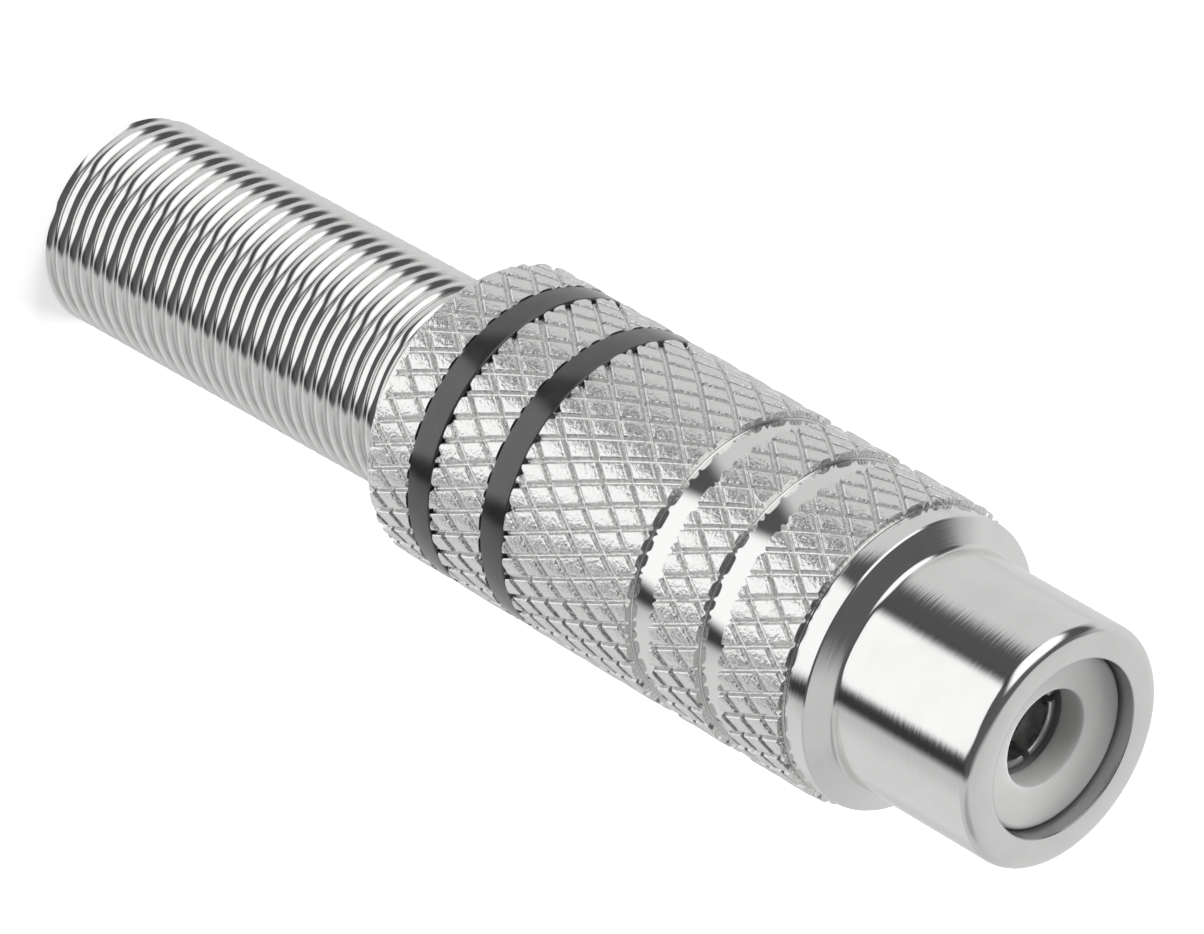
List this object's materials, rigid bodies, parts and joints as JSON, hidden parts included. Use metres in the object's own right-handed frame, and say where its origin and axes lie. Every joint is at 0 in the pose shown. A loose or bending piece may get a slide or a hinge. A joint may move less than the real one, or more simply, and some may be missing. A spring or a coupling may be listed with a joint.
{
  "type": "rca socket",
  "caption": "In-line phono socket for a cable, with a knurled screw-on barrel, a dished insulator and slotted centre contact inside its plain sleeve, and a close-wound strain relief spring",
  "frame": {"origin": "Centre of the flat end of the spring, which the connector stands on", "axes": "+Z runs along the connector from the spring end to the mouth of the socket"},
  "size_m": [0.0104, 0.0104, 0.0432],
  "materials": {
    "sleeve_plating": "satin nickel plating with fine turning marks",
    "barrel_plating": "bright nickel plating",
    "spring_plating": "mirror-bright plated wire",
    "contact_plating": "plated brass",
    "tag_plating": "tinned sheet",
    "band_enamel": "dark glossy colour code band",
    "insulator": "off-white moulding",
    "liner": "translucent natural plastic tube"
  },
  "bodies": {
    "cable_side": {"strain_relief_spring": "spring_plating", "insulating_sleeve": "liner"},
    "barrel_side": {"barrel": "barrel_plating", "front_band": "band_enamel", "rear_band": "band_enamel"},
    "socket_side": {"socket_shell": "sleeve_plating", "front_insulator": "insulator", "centre_contact": "contact_plating", "rear_insulator": "insulator", "ground_tag": "tag_plating"}
  },
  "joints": [
    {"name": "barrel_turn", "type": "hinge", "parent": "cable_side", "child": "barrel_side", "pos_m": [0, 0, 0.027], "axis": [0, 0, -1], "range_deg": [0, 1872]},
    {"name": "socket_draw", "type": "slide", "parent": "cable_side", "child": "socket_side", "axis": [0, 0, 1], "range_m": [0, 0.0039]}
  ],
  "couplings": [
    {"joint": "socket_draw", "follows": "barrel_turn", "m_per_rad": 0.00011937}
  ]
}
